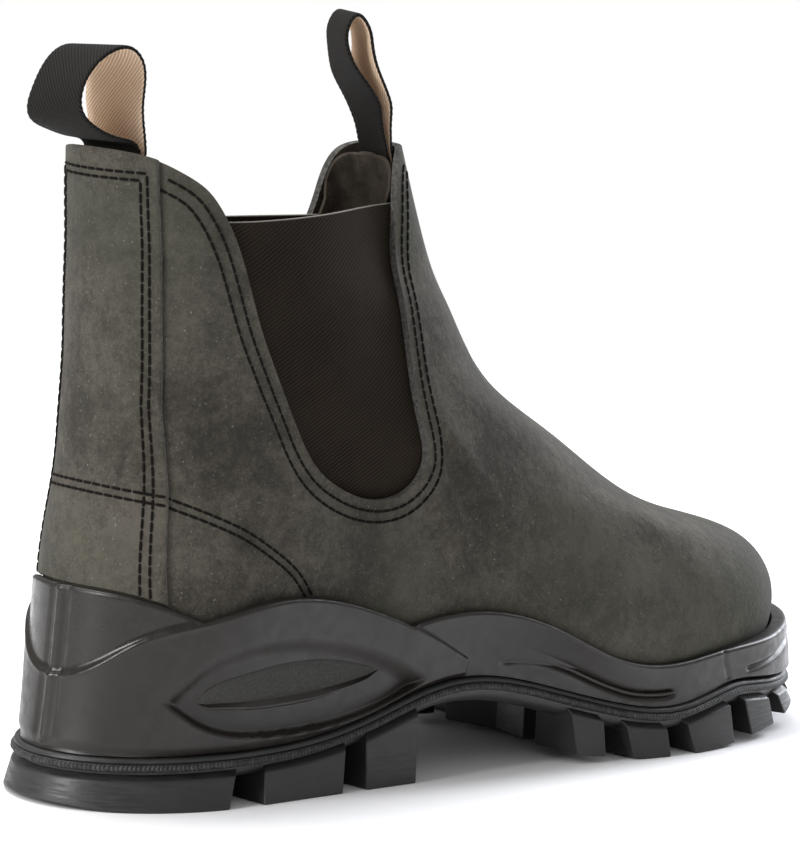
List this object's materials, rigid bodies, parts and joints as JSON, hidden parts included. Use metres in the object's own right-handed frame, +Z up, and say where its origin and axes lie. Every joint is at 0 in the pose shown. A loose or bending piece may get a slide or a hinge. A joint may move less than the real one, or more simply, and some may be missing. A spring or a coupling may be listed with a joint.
{
  "type": "side gore work boot",
  "caption": "Ankle-high right work boot with elastic side gores, webbing pull loops, and a cupped midsole on a lugged outsole.",
  "frame": {"origin": "on the floor, under the middle of the heel, on the face of the central heel lug", "axes": "+X from heel to toe, -Y towards the little-toe side, +Z up from the floor"},
  "size_m": [0.3016, 0.1095, 0.2171],
  "materials": {
    "outsole": "satin black rubber",
    "midsole": "moulded semi-gloss foam rubber",
    "leather": "matt nubuck",
    "elastic": "ribbed elastic",
    "insole": "matt fabric",
    "webbing": "twill webbing"
  },
  "bodies": {
    "root": {"outsole": "outsole", "midsole": "midsole", "upper": "leather", "backstay": "leather", "gore_outer": "elastic", "gore_inner": "elastic", "insole": "insole", "pull_loop_back": "webbing", "pull_loop_front": "webbing"}
  },
  "joints": []
}
